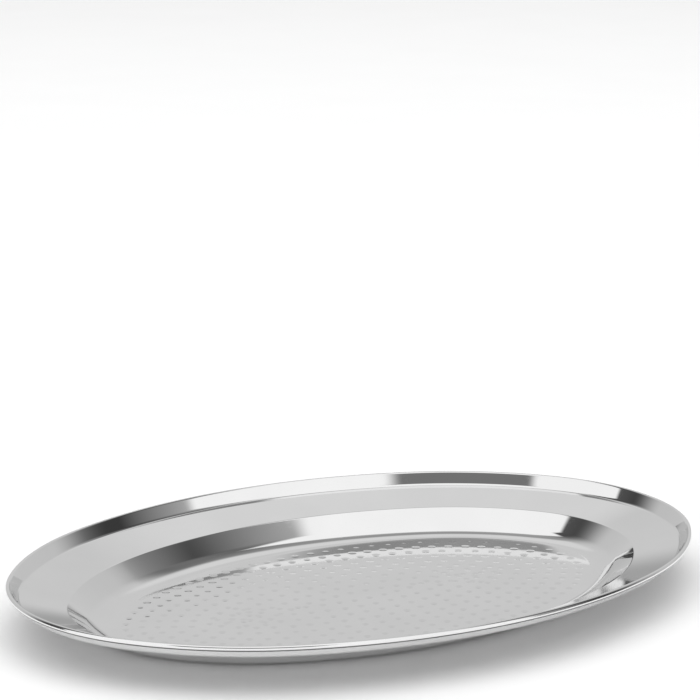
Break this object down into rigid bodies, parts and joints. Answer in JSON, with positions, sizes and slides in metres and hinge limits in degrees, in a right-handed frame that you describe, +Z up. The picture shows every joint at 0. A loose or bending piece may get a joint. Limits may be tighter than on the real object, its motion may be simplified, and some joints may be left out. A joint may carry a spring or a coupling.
{
  "type": "serving tray",
  "caption": "Oval serving tray of polished sheet metal: hammered flat floor, sloping well wall, wide shallow brim, upturned band and wired rolled edge.",
  "frame": {"origin": "centre of the oval, on the underside of the floor, where the tray rests on a table", "axes": "+X along the long axis, +Y across, +Z up out of the well"},
  "size_m": [0.4498, 0.3178, 0.03],
  "materials": {
    "polished_sheet": "polished, floor hammered",
    "wire": "drawn wire"
  },
  "bodies": {
    "root": {"tray_sheet": "polished_sheet", "rim_wire": "wire"}
  },
  "joints": []
}
